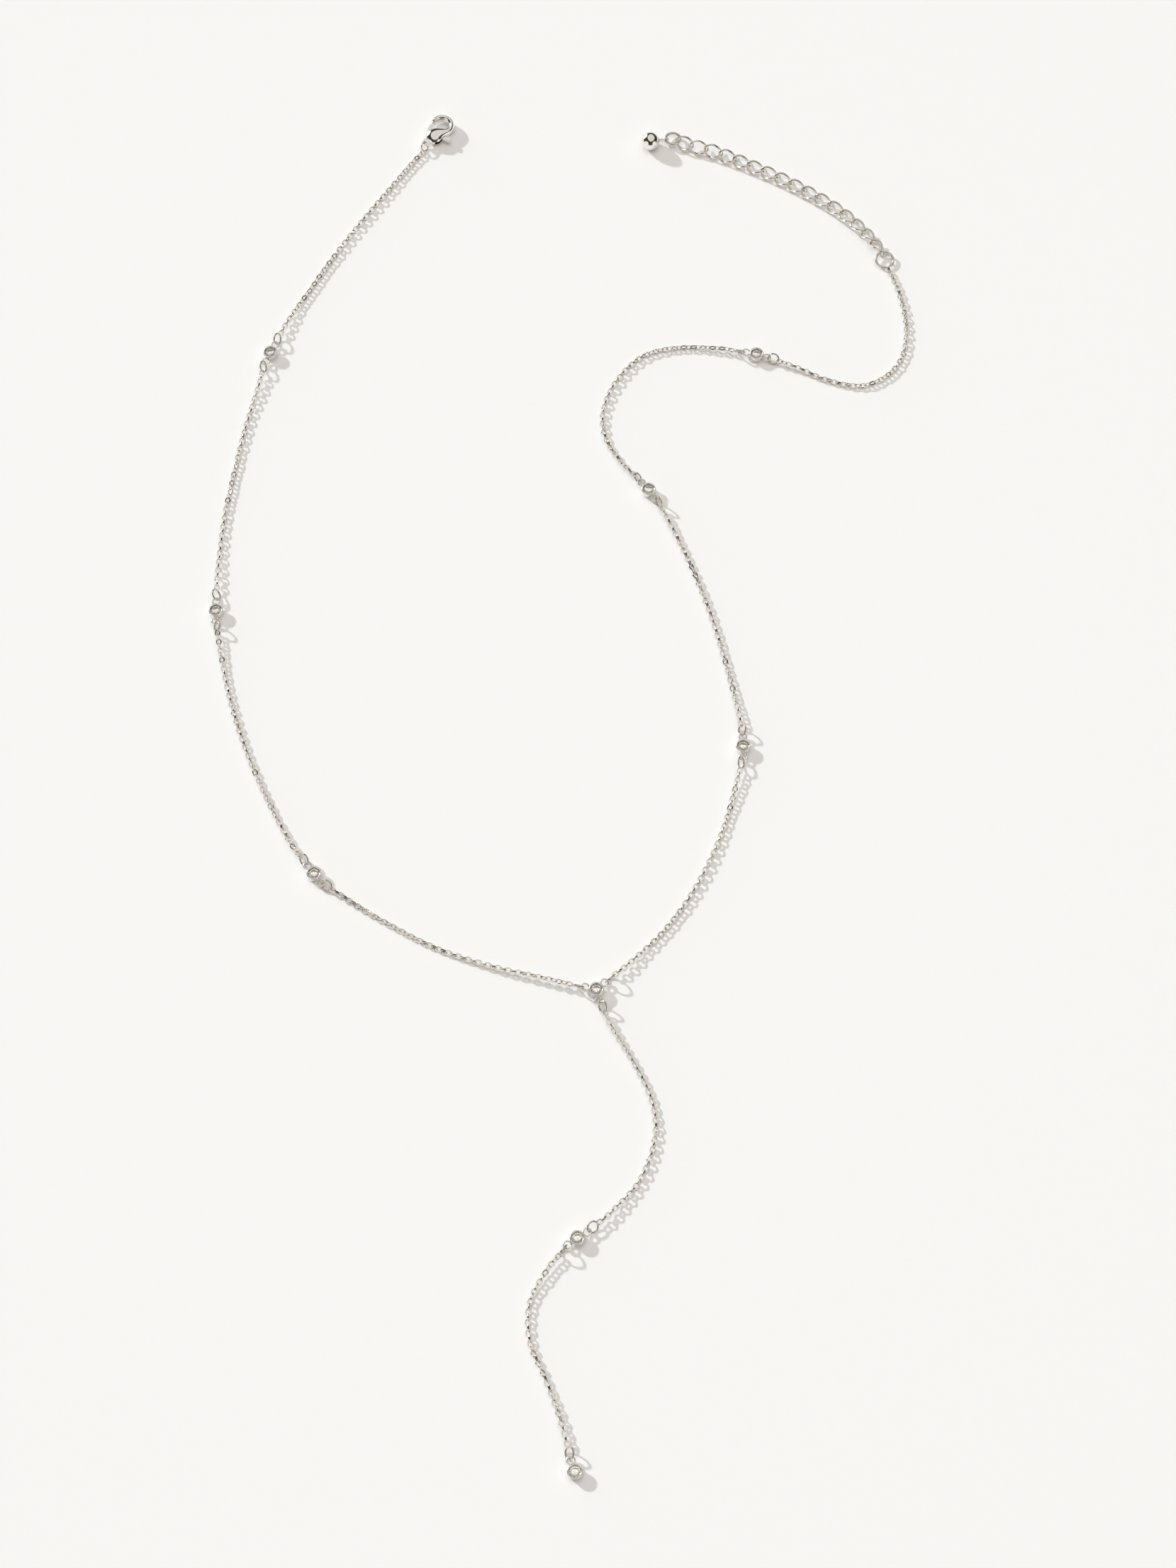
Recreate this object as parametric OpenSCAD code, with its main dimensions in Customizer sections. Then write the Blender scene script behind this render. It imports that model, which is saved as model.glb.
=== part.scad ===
// Y necklace laid open on a table: nine round stones in bezel cups on a fine chain, a drop below the
// centre stone, a lobster clasp with a sprung lever, and a curb link extender that ends in a ball.
// Millimetres, +Z up. The origin is on the table, under the middle of the necklace's outline.

/* [Stones and cups] */
// Diameter of a round stone at its girdle
stone_d = 3; // [2.6:0.1:3.4]
// Gap between a stone and its cup
stone_gap = 0.05; // [0.03:0.01:0.08]
// Wall of a cup outside its stone
cup_wall = 0.3; // [0.24:0.02:0.4]
// How much smaller the radius of a cup is at its foot than at its lip
cup_taper = 0.25; // [0.1:0.05:0.3]
// Metal under the tip of a stone
cup_floor = 0.2; // [0.15:0.05:0.5]
// Diameter of the rounded lip of a cup
lip_d = 0.5; // [0.42:0.02:0.54]
// Outer diameter of an eye soldered to a cup
eye_d = 2.3; // [2.2:0.05:2.5]
// Wire of an eye
eye_wire = 0.42; // [0.36:0.02:0.46]
// Height of an eye's middle above the table
eye_h = 1.2; // [1.1:0.05:1.4]
// How far an eye is let into the wall of its cup
eye_sink = 0.12; // [0.08:0.02:0.16]

/* [Jump rings] */
// Outer diameter of a jump ring
ring_d = 3.25; // [3:0.05:3.5]
// Wire of a jump ring
ring_wire = 0.45; // [0.4:0.01:0.5]
// Gap between two wires that hook through each other
hook_gap = 0.1; // [0.08:0.01:0.12]

/* [Chain] */
// Diameter of the space that the fine chain fills
chain_d = 1.5; // [1.2:0.1:1.6]
// Gap between the end of a chain and the ring that holds it
chain_gap = 0.15; // [0.1:0.05:0.3]

/* [Extender] */
// Outer length of a curb link
curb_l = 5.6; // [5.2:0.1:6]
// Outer width of a curb link
curb_w = 4; // [3.6:0.1:4.2]
// Wire of a curb link
curb_wire = 0.6; // [0.5:0.02:0.64]
// Outer diameter of the round ring between the chain and the curb links
extender_ring_d = 5.2; // [5:0.1:5.8]
// Wire of the round ring between the chain and the curb links
extender_ring_wire = 0.62; // [0.5:0.02:0.7]
// Outer diameter of the ring that holds the ball
ball_ring_d = 4.6; // [4.4:0.1:5]
// Wire of the ring that holds the ball
ball_ring_wire = 0.75; // [0.6:0.05:0.8]
// Diameter of the end ball
ball_d = 4.9; // [4.5:0.1:5.5]
// Length of the post between the ball and its eye
ball_post_l = 1.3; // [1:0.1:1.6]
// Diameter of the post between the ball and its eye
ball_post_d = 0.9; // [0.7:0.1:1.2]
// Wire of the ball's eye
ball_eye_wire = 0.4; // [0.36:0.02:0.46]

/* [Clasp] */
// Length of the clasp from its tail hole to the top of its hook
clasp_l = 9.8; // [9.6:0.1:10.2]
// Outer diameter of the hook
hook_d = 6.7; // [6.5:0.1:6.9]
// Thickness of the hook
hook_t = 1.55; // [1.45:0.05:1.65]
// Diameter of the rounded body behind the hook
body_d = 5; // [4.9:0.05:5.2]
// Thickness of the body at its crown
clasp_t = 3.3; // [3:0.05:3.5]
// Outer diameter of the tail
tail_d = 2.2; // [2.1:0.05:2.3]
// Diameter of the tail hole
tail_hole_d = 1.4; // [1.35:0.05:1.45]
// Thickness of the tail
tail_t = 0.45; // [0.4:0.05:0.5]
// Thickness of the lever
lever_t = 0.7; // [0.6:0.05:0.8]
// Gap on each side of the lever in its slot
lever_gap = 0.08; // [0.06:0.01:0.1]
// Length of the lever from its pin to the end of the thumb tab
tab_l = 4.6; // [4.4:0.1:4.8]
// Width of the lever's thumb tab
tab_w = 1.1; // [0.9:0.05:1.2]
// Diameter of the pin that the lever turns on
pin_d = 0.7; // [0.6:0.05:0.8]
// How far each end of the pin is let into its cheek
pin_hold = 0.5; // [0.3:0.05:0.7]
// Radial gap between the pin and the lever's bore
pin_gap = 0.05; // [0.03:0.01:0.1]
// Outer diameter of the ring at the clasp's tail
clasp_ring_d = 2.9; // [2.8:0.05:3.2]
// Wire of the ring at the clasp's tail
clasp_ring_wire = 0.45; // [0.4:0.01:0.48]

/* [Hidden] */
$fn = 64;

// Where each cup stands, as x, y and the directions of its eyes in degrees
STATIONS = [
  [-77, 112, [65, 245]],
  [-88, 36, [90, 270]],
  [-61, -36.5, [125, 305]],
  [8, -67, [44, 164, 284]],
  [44.5, -2, [90, 270]],
  [21.5, 71, [128, 308]],
  [50, 111.5, [164, 344]],
  [3.5, -129.5, [34, 214]],
  [3, -185, [108]]
];

// Where the clasp's tail hole, the extender's round ring and the ball's ring lie
CLASP_AT = [-37.3, 177.9];
EXTENDER_RING_AT = [84.5, 141];
BALL_RING_AT = [28.8, 179.2];

// Each chain from one holder to the next: the holder that it leaves, its eye there, the lean of the
// jump ring there, the same three for the holder that it reaches, and the chosen points between them.
// A holder is a cup from 0 to 8, or the clasp or the extender's round ring.
CLASP = 9;
EXTENDER = 10;
CHAIN_ROUTES = [
  [CLASP, 0, -28, 0, 0, 25, [[-41, 172], [-49.5, 160], [-58, 147.5], [-65.5, 135], [-73, 121.5]]],
  [0, 1, -25, 1, 0, 35, [[-79.5, 103], [-82.5, 90.5], [-85, 77], [-87, 63.5], [-88, 48.5]]],
  [1, 1, 31, 2, 0, -32, [[-86.5, 25], [-83.5, 11.5], [-79, -2.5], [-73, -16.5], [-66.5, -29]]],
  [2, 1, 38, 3, 1, 24, [[-55, -41.5], [-45, -48], [-31.5, -55.5], [-18, -60.5], [-4.5, -64]]],
  [3, 0, -17, 4, 1, -28, [[16.5, -59.5], [25.5, -50], [33, -38.5], [39, -25], [43, -11]]],
  [4, 0, -34, 5, 1, 13, [[43.5, 8], [40.5, 22], [36.5, 37], [31.5, 51], [26, 63.5]]],
  [
    5, 0, -11, 6, 0, 25,
    [[14.5, 79.5], [10.5, 87], [10, 95], [13.5, 104], [20.5, 111.5], [30, 114], [40.5, 113.5]]
  ],
  [
    6, 1, 38, EXTENDER, 0, 0,
    [[60, 108], [69, 104], [77.5, 102.5], [84.5, 106], [88.5, 112.5], [89.5, 121], [88, 131]]
  ],
  [3, 2, 32, 7, 0, 42, [[11.5, -76], [17, -85.5], [21, -94.5], [22, -103.5], [18.5, -114.5], [11.5, -123]]],
  [7, 1, 5, 8, 0, -40, [[-3.5, -137], [-7.5, -145], [-7.5, -154], [-4, -162.5], [-0.5, -172]]]
];

// The extender's chosen points between its round ring and the ball's ring
EXTENDER_ROUTE = [[81, 147.5], [72.5, 156.5], [61, 164.5], [49, 171], [38.5, 175.5], [33.5, 176.8]];

STATION_COUNT = len(STATIONS);
CHAIN_COUNT = len(CHAIN_ROUTES);

// Every chain end on a cup's eye has a jump ring: its cup, eye, lean and the point that it faces
JUMP_RINGS = [
  for (route = CHAIN_ROUTES)
    for (side = [0, 1])
      let (cup = route[3 * side], inner = route[6])
        if (cup < STATION_COUNT)
          [cup, route[3 * side + 1], route[3 * side + 2], inner[side * (len(inner) - 1)]]
];
JUMP_RING_COUNT = len(JUMP_RINGS);

// Proportions of a round brilliant, as shares of its diameter
TABLE_SHARE = 0.57;
CROWN_SHARE = 0.15;
GIRDLE_SHARE = 0.02;
PAVILION_SHARE = 0.43;

// Stone and cup
stone_r = stone_d / 2;
girdle_h = cup_floor + stone_gap + PAVILION_SHARE * stone_d;
stone_top_h = girdle_h + (GIRDLE_SHARE + CROWN_SHARE) * stone_d;
cup_r = stone_r + stone_gap + cup_wall;
foot_r = cup_r - cup_taper;
lip_rise = lip_d / 2 + stone_gap;
lip_h = girdle_h + GIRDLE_SHARE * stone_d + lip_rise;
cup_h = lip_h + lip_d / 2;
eye_mean_r = (eye_d - eye_wire) / 2;
eye_reach = foot_r + cup_taper * eye_h / lip_h + eye_d / 2 - eye_sink;

// Jump rings
ring_mean_r = (ring_d - ring_wire) / 2;
clasp_ring_mean_r = (clasp_ring_d - clasp_ring_wire) / 2;

// Chain tubes, with a flat side down
TUBE_SIDES = 8;
TUBE_STEPS = 4;
chain_h = chain_d / 2 * cos(180 / TUBE_SIDES);

// Curb links, twisted so that each link's end stands square to the next link's end
CURB_TWIST = -45;
CURB_STEPS = 14;
CURB_SIDES = 6;
CURB_END_ROLLS = [-36, -26, -17, -8];
CURB_SLACK = 0.2;
curb_in_l = curb_l - 2 * curb_wire;

// Round ring and ball ring, each held up by the links that hook through it
EXTENDER_RING_LEAN = 7;
BALL_RING_LEAN = -6;
extender_ring_mean_r = (extender_ring_d - extender_ring_wire) / 2;
ball_ring_mean_r = (ball_ring_d - ball_ring_wire) / 2;

// End ball, on a post that points at the wire of its ring
BALL_TURN = 194;
ball_eye_mean_r = ball_ring_wire / 2 + hook_gap + ball_eye_wire / 2;
ball_eye_reach = ball_d / 2 + ball_post_l + ball_eye_mean_r;

// Clasp, in its own frame with +X from the tail hole to the top of the hook
CLASP_TURN = 51;
GATE_TURN = 50;
TAB_TURN = -75;
HOOK_END = 112;
HOOK_FOOT = -83;
hook_at = [clasp_l - hook_d / 2, 0.1];
hook_in_r = hook_d / 2 - hook_t;
body_at = [body_d / 2 + 0.25, -0.3];
pivot_at = body_at + [0.35, 0.2];
clasp_mid_h = clasp_t / 2;

function unit(v) = v / norm(v);
function heading(a) = [cos(a), sin(a), 0];
function bearing(from, to) = atan2(to[1] - from[1], to[0] - from[0]);
function on_table(p, h) = [p[0], p[1], h];

// Middle of eye number e of cup number c
function eye_at(c, e) =
  [STATIONS[c][0], STATIONS[c][1], eye_h] + eye_reach * heading(STATIONS[c][2][e]);

// Height of the middle of a ring that stands on the table and leans by an angle
function standing_h(mean_r, wire, lean) = mean_r * cos(lean) + wire / 2;

// Distance from an eye's middle to the middle of the jump ring that hooks round its wire
function jump_ring_reach(lean) =
  eye_mean_r
  + sqrt(
    pow(ring_mean_r - (eye_wire + ring_wire) / 2 - hook_gap, 2)
    - pow(standing_h(ring_mean_r, ring_wire, lean) - eye_h, 2)
  );

// Distance from the tail hole's middle to the middle of the ring that hooks round its rim
function clasp_ring_reach(lean) =
  tail_hole_d / 2
  + sqrt(
    pow(clasp_ring_mean_r - clasp_ring_wire / 2 - hook_gap, 2)
    - pow(
      (tail_t / 2 + abs(standing_h(clasp_ring_mean_r, clasp_ring_wire, lean) - clasp_mid_h)) / cos(lean),
      2
    )
  );

// Sideways shift that lets a leaning ring cross the middle of the eye that it hooks through
function lean_shift(mean_r, wire, lean, h) = (standing_h(mean_r, wire, lean) - h) * tan(lean);

// Where a chain ends beside its ring, on the side that faces a point
function chain_end(holder, eye, lean, faced) =
  holder == CLASP
    ? on_table(CLASP_AT, chain_h)
      + (clasp_ring_reach(lean) + clasp_ring_d / 2 + chain_gap) * heading(bearing(CLASP_AT, faced))
    : holder == EXTENDER
      ? on_table(EXTENDER_RING_AT, chain_h)
        + (extender_ring_d / 2 + chain_gap) * heading(bearing(EXTENDER_RING_AT, faced))
      : let (e = eye_at(holder, eye))
        on_table(e, chain_h)
        + (jump_ring_reach(lean) + ring_d / 2 + chain_gap) * heading(bearing(e, faced));

function chain_points(route) =
  let (inner = route[6], last = len(inner) - 1)
    concat(
      [chain_end(route[0], route[1], route[2], inner[0])],
      [for (p = inner) on_table(p, chain_h)],
      [chain_end(route[3], route[4], route[5], inner[last])]
    );

// Smooth curve through points, with slopes that follow the distances between them
function slope_at(pts, i) =
  let (last = len(pts) - 1, before = pts[max(i - 1, 0)], after = pts[min(i + 1, last)])
    (after - before)
    / ((i > 0 ? norm(pts[i] - before) : 0) + (i < last ? norm(after - pts[i]) : 0));
function between(pts, i, t) =
  let (
    p = pts[i],
    q = pts[i + 1],
    l = norm(q - p),
    u = t * t * (3 - 2 * t)
  )
    (1 - u) * p + u * q
    + l * t * (1 - t) * ((1 - t) * slope_at(pts, i) - t * slope_at(pts, i + 1));
function smooth(pts, steps) =
  concat(
    [for (i = [0:len(pts) - 2]) for (k = [0:steps - 1]) between(pts, i, k / steps)],
    [pts[len(pts) - 1]]
  );
function tangent(pts, i) = unit(pts[min(i + 1, len(pts) - 1)] - pts[max(i - 1, 0)]);

// Lengths along a run of points, and the place and heading at one length
function lengths(pts, i = 0, sum = 0) =
  i == len(pts) - 1
    ? [sum]
    : concat([sum], lengths(pts, i + 1, sum + norm(pts[i + 1] - pts[i])));
function span_of(runs, s, i = 0) = i >= len(runs) - 2 || s < runs[i + 1] ? i : span_of(runs, s, i + 1);
function along(pts, runs, s) =
  let (i = span_of(runs, s), t = (s - runs[i]) / (runs[i + 1] - runs[i]))
    [(1 - t) * pts[i] + t * pts[i + 1], bearing(pts[i], pts[i + 1])];

// Rings of points around a wire, joined into one closed skin
function around(centre, side, up, r, sides) =
  [
    for (k = [0:sides - 1])
      let (a = 360 * (k + 0.5) / sides)
        centre + r * (cos(a) * side + sin(a) * up)
  ];
function skin(rings, sides, closed) =
  [
    for (i = [0:rings - (closed ? 1 : 2)])
      for (k = [0:sides - 1])
        let (
          a = i * sides + k,
          b = i * sides + (k + 1) % sides,
          c = ((i + 1) % rings) * sides + (k + 1) % sides,
          d = ((i + 1) % rings) * sides + k
        )
          each [[a, c, b], [a, d, c]]
  ];

// Middle line of a curb link, and the normal of its twisted plane
function curb_turn(x) = CURB_TWIST * x / ((curb_l - curb_wire) / 2);
function curb_point(a, roll) =
  let (
    x = (curb_l - curb_wire) / 2 * cos(a),
    y = (curb_w - curb_wire) / 2 * sin(a),
    turn = curb_turn(x) + roll
  )
    [x, y * cos(turn), y * sin(turn)];
function curb_normal(a, roll) =
  let (turn = curb_turn((curb_l - curb_wire) / 2 * cos(a)) + roll) [0, -sin(turn), cos(turn)];
function curb_lift(roll) =
  curb_wire / 2 - min([for (k = [0:35]) curb_point(10 * k, roll)[2]]);

// Curb links spread evenly between the two rings
extender_run = smooth(
  concat(
    [on_table(EXTENDER_RING_AT, 0)],
    [for (p = EXTENDER_ROUTE) on_table(p, 0)],
    [on_table(BALL_RING_AT, 0)]
  ),
  8
);
extender_lengths = lengths(extender_run);
curb_start = extender_ring_mean_r + curb_in_l / 2 - extender_ring_wire / 2 - hook_gap - CURB_SLACK;
curb_stop = extender_lengths[len(extender_lengths) - 1]
  - (ball_ring_mean_r + curb_in_l / 2 - ball_ring_wire / 2 - hook_gap - CURB_SLACK);
curb_gaps = ceil((curb_stop - curb_start) / (curb_in_l - hook_gap));
function curb_roll(i) =
  i < len(CURB_END_ROLLS)
    ? -CURB_END_ROLLS[i]
    : (curb_gaps - i < len(CURB_END_ROLLS) ? CURB_END_ROLLS[curb_gaps - i] : 0);

// Height at which link i hooks into the one before it, so that neighbours meet
function curb_hook_h(i) =
  (curb_lift(curb_roll(max(i - 1, 0))) + curb_lift(curb_roll(min(i, curb_gaps)))) / 2;

// Round stone with a table, a crown of stars, kites and halves, and a pointed pavilion
module brilliant() {
  table_r = TABLE_SHARE * stone_r;
  crown = CROWN_SHARE * stone_d;
  girdle = GIRDLE_SHARE * stone_d;
  points = concat(
    [for (k = [0:7]) table_r * heading(45 * k) + [0, 0, girdle + crown]],
    [for (k = [0:7]) 0.8 * stone_r * heading(45 * k + 22.5) + [0, 0, girdle + 0.48 * crown]],
    [for (k = [0:15]) stone_r * heading(22.5 * k) + [0, 0, girdle]],
    [for (k = [0:15]) stone_r * heading(22.5 * k)],
    [for (k = [0:7]) 0.24 * stone_r * heading(45 * k + 22.5) - [0, 0, 0.77 * PAVILION_SHARE * stone_d]],
    [[0, 0, -PAVILION_SHARE * stone_d]]
  );
  mid = 8;
  top = 16;
  low = 32;
  keel = 48;
  tip = 56;
  faces = concat(
    [[for (k = [7:-1:0]) k]],
    [
      for (k = [0:7])
        let (n = (k + 1) % 8, main = (2 * k + 2) % 16)
          each [
            [k, n, mid + k],
            [n, top + main, mid + k],
            [n, mid + n, top + main],
            [mid + k, top + 2 * k + 1, top + 2 * k],
            [mid + k, top + main, top + 2 * k + 1],
            [keel + k, low + 2 * k, low + 2 * k + 1],
            [keel + k, low + 2 * k + 1, low + main],
            [keel + k, low + main, keel + n],
            [tip, keel + k, keel + n]
          ]
    ],
    [
      for (k = [0:15])
        let (n = (k + 1) % 16)
          each [[top + k, top + n, low + n], [top + k, low + n, low + k]]
    ]
  );
  polyhedron(points = points, faces = faces);
}

// Round wire ring about the Z axis
module wire_ring(mean_r, wire) {
  rotate_extrude() translate([mean_r, 0]) circle(d = wire);
}

module cup() {
  inner_r = stone_r + stone_gap;
  rotate_extrude() {
    difference() {
      polygon([[0, 0], [foot_r, 0], [cup_r, lip_h], [0, lip_h]]);
      polygon([[0, cup_floor], [inner_r, girdle_h], [inner_r, lip_h + 1], [0, lip_h + 1]]);
    }
    translate([cup_r - lip_d / 2, lip_h]) circle(d = lip_d);
  }
}

module setting(i) {
  color("gainsboro") translate([STATIONS[i][0], STATIONS[i][1], 0]) {
    cup();
    for (turn = STATIONS[i][2])
      translate(eye_reach * heading(turn) + [0, 0, eye_h]) wire_ring(eye_mean_r, eye_wire);
  }
}

module stone(i) {
  color("lightcyan")
    translate([STATIONS[i][0], STATIONS[i][1], girdle_h]) rotate([0, 0, STATIONS[i][2][0]]) brilliant();
}

module jump_ring(i) {
  cup = JUMP_RINGS[i][0];
  eye = JUMP_RINGS[i][1];
  lean = JUMP_RINGS[i][2];
  e = eye_at(cup, eye);
  turn = bearing(e, JUMP_RINGS[i][3]);
  shift = lean_shift(ring_mean_r, ring_wire, lean, eye_h);
  color("silver") translate(on_table(e, standing_h(ring_mean_r, ring_wire, lean)))
    rotate([0, 0, turn]) translate([jump_ring_reach(lean), shift, 0]) rotate([90 - lean, 0, 0])
      wire_ring(ring_mean_r, ring_wire);
}

module chain(i) {
  pts = smooth(chain_points(CHAIN_ROUTES[i]), TUBE_STEPS);
  rings = len(pts);
  color("lightgray") polyhedron(
    points = [
      for (k = [0:rings - 1])
        let (t = tangent(pts, k))
          each around(pts[k], [-t[1], t[0], 0], [0, 0, 1], chain_d / 2, TUBE_SIDES)
    ],
    faces = concat(
      [[for (k = [0:TUBE_SIDES - 1]) k]],
      skin(rings, TUBE_SIDES, false),
      [[for (k = [TUBE_SIDES - 1:-1:0]) (rings - 1) * TUBE_SIDES + k]]
    )
  );
}

module curb_link(roll) {
  line = [for (k = [0:CURB_STEPS - 1]) curb_point(360 * k / CURB_STEPS, roll)];
  polyhedron(
    points = [
      for (k = [0:CURB_STEPS - 1])
        let (
          t = unit(line[(k + 1) % CURB_STEPS] - line[(k + CURB_STEPS - 1) % CURB_STEPS]),
          side = unit(cross(curb_normal(360 * k / CURB_STEPS, roll), t))
        )
          each around(line[k], side, cross(t, side), curb_wire / 2, CURB_SIDES)
    ],
    faces = skin(CURB_STEPS, CURB_SIDES, true)
  );
}

module extender_chain() {
  step = (curb_stop - curb_start) / curb_gaps;
  color("silver") for (i = [0:curb_gaps]) {
    place = along(extender_run, extender_lengths, curb_start + i * step);
    near_h = curb_hook_h(i);
    far_h = curb_hook_h(i + 1);
    translate(place[0] + [0, 0, (near_h + far_h) / 2])
      rotate([0, asin((near_h - far_h) / step), place[1]]) curb_link(curb_roll(i));
  }
}

// Each of the two rings rides on a link's lower wire
extender_ring_h = curb_wire + extender_ring_wire / 2 + hook_gap;
ball_ring_h = curb_wire + ball_ring_wire / 2 + 4 * hook_gap;

module extender_ring() {
  turn = bearing(EXTENDER_RING_AT, EXTENDER_ROUTE[0]);
  color("silver") translate(on_table(EXTENDER_RING_AT, extender_ring_h))
    rotate([0, -EXTENDER_RING_LEAN, turn]) wire_ring(extender_ring_mean_r, extender_ring_wire);
}

module ball_ring() {
  color("silver") translate(on_table(BALL_RING_AT, ball_ring_h))
    rotate([BALL_RING_LEAN, 0, 0]) wire_ring(ball_ring_mean_r, ball_ring_wire);
}

// The ball's eye hooks round the wire of its ring, so the post slopes down from the ball
ball_hook = on_table(BALL_RING_AT, ball_ring_h)
  + ball_ring_mean_r * unit([
    cos(BALL_TURN),
    sin(BALL_TURN),
    sin(BALL_TURN) * tan(BALL_RING_LEAN)
  ]);
ball_drop = ball_d / 2 - ball_hook[2];
ball_at = on_table(ball_hook, ball_d / 2)
  + sqrt(pow(ball_eye_reach, 2) - pow(ball_drop, 2)) * heading(BALL_TURN);

module end_ball() {
  color("gainsboro") translate(ball_at)
    rotate([0, asin(ball_drop / ball_eye_reach), BALL_TURN + 180]) {
      sphere(d = ball_d);
      rotate([0, 90, 0]) cylinder(d = ball_post_d, h = ball_d / 2 + ball_post_l);
      translate([ball_eye_reach, 0, 0]) rotate([90, 0, 0]) wire_ring(ball_eye_mean_r, ball_eye_wire);
    }
}

module clasp_ring() {
  lean = CHAIN_ROUTES[0][2];
  turn = bearing(CLASP_AT, CHAIN_ROUTES[0][6][0]);
  shift = lean_shift(clasp_ring_mean_r, clasp_ring_wire, lean, clasp_mid_h);
  color("silver") translate(on_table(CLASP_AT, standing_h(clasp_ring_mean_r, clasp_ring_wire, lean)))
    rotate([0, 0, turn]) translate([clasp_ring_reach(lean), shift, 0]) rotate([90 - lean, 0, 0])
      wire_ring(clasp_ring_mean_r, clasp_ring_wire);
}

module in_clasp() {
  translate(on_table(CLASP_AT, clasp_mid_h)) rotate([0, 0, CLASP_TURN]) children();
}

// A slab about the clasp's middle plane
module slab(t) {
  translate([0, 0, -t / 2]) linear_extrude(t) children();
}

// A wedge of a disc
module wedge(r, from, to) {
  intersection() {
    circle(r);
    polygon([
      [0, 0],
      2 * r * [cos(from), sin(from)],
      2 * r * [cos((2 * from + to) / 3), sin((2 * from + to) / 3)],
      2 * r * [cos((from + 2 * to) / 3), sin((from + 2 * to) / 3)],
      2 * r * [cos(to), sin(to)]
    ]);
  }
}

// Reach of the gate from the pin where it tucks in behind the hook's tip, and of the tip itself
gate_r = 3.95;
tip_r = 3.45;
boss_r = 1;
crown_r = 9;

// Round body that tapers into the foot of the hook, with the taper let a little into the round
module body_round() {
  r = body_d / 2;
  foot = hook_at + (hook_d - hook_t) / 2 * [cos(HOOK_FOOT), sin(HOOK_FOOT)];
  reach = norm(foot - body_at);
  lean = asin((r - hook_t / 2) / reach);
  translate(body_at) rotate([0, 0, bearing(body_at, foot)]) rotate([0, 90, 0]) {
    sphere(r);
    translate([0, 0, r * sin(lean)])
      cylinder(
        r1 = r * cos(lean) - 0.02,
        r2 = hook_t / 2 * cos(lean),
        h = reach - (r - hook_t / 2) * sin(lean)
      );
  }
}

// Where the ring or cord that the clasp holds goes in
module mouth() {
  r = body_d / 2;
  heel = hook_at + hook_in_r * [cos(-72), sin(-72)];
  polygon([
    heel,
    heel + [hook_d, 0],
    body_at + 2 * r * [cos(70), sin(70)],
    body_at + 1.03 * r * [cos(83), sin(83)],
    body_at + 0.88 * r * [cos(70), sin(70)],
    body_at + 0.72 * r * [cos(58), sin(58)]
  ]);
}

// Slot in the middle plane where the lever turns, with a notch for the gate in the hook's tip
module lever_slot() {
  circle(boss_r + 0.15);
  wedge(gate_r + lever_gap, -12, GATE_TURN);
  wedge(tip_r, GATE_TURN - 1, 113);
  wedge(tab_l, -138, TAB_TURN);
  rotate(TAB_TURN) translate([0, -tab_w / 2 - lever_gap]) square([tab_l, tab_w + 2 * lever_gap]);
}

module clasp_body() {
  color("gainsboro") in_clasp() {
    difference() {
      union() {
        difference() {
          intersection() {
            body_round();
            translate([pivot_at[0], pivot_at[1], clasp_t / 2 - crown_r]) sphere(crown_r);
            translate([pivot_at[0], pivot_at[1], crown_r - clasp_t / 2]) sphere(crown_r);
          }
          slab(2 * clasp_t) mouth();
        }
        translate(hook_at) difference() {
          wire_ring((hook_d - hook_t) / 2, hook_t);
          slab(2 * hook_t) wedge(hook_d, HOOK_END, 235);
        }
        slab(tail_t) {
          circle(d = tail_d);
          translate([0, -tail_d / 3]) square([body_at[0] - body_d / 4, 2 * tail_d / 3]);
        }
      }
      translate(pivot_at) slab(lever_t + 2 * lever_gap) lever_slot();
      slab(clasp_t) circle(d = tail_hole_d);
    }
    translate(pivot_at) cylinder(d = pin_d, h = lever_t + 2 * (lever_gap + pin_hold), center = true);
  }
}

module clasp_lever() {
  color("darkgray") in_clasp() translate(pivot_at) difference() {
    union() {
      slab(lever_t) {
        circle(boss_r);
        rotate(GATE_TURN) polygon([
          [0, boss_r],
          [0.5, 0.95],
          [1.3, 1.5],
          [2.1, 1.45],
          [2.95, 0.9],
          [tip_r - lever_gap, 0.45],
          [tip_r - lever_gap, -lever_gap],
          [gate_r, -lever_gap],
          [gate_r, -0.5],
          [3.2, -0.45],
          [2.4, -0.1],
          [1.9, 0.1],
          [1.2, -0.45],
          [0, -boss_r]
        ]);
        rotate(TAB_TURN) translate([0, -tab_w / 2]) square([tab_l, tab_w]);
      }
      rotate(TAB_TURN) translate([tab_l - 1.1, -tab_w / 2, -lever_t / 2 - 0.15])
        cube([1.1, tab_w, lever_t + 0.3]);
    }
    cylinder(d = pin_d + 2 * pin_gap, h = 2 * clasp_t, center = true);
  }
}

for (i = [0:STATION_COUNT - 1]) {
  setting(i);
  stone(i);
}
for (i = [0:JUMP_RING_COUNT - 1]) {
  jump_ring(i);
}
for (i = [0:CHAIN_COUNT - 1]) {
  chain(i);
}
clasp_body();
clasp_lever();
clasp_ring();
extender_ring();
extender_chain();
ball_ring();
end_ball();
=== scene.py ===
# Y necklace laid open on white paper: fine cable chain, nine bezel-set round stones, a lobster
# clasp and a curb link extender with an end ball. Metres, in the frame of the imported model.
import bpy
import math
import random
from mathutils import Matrix, Vector


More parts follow.
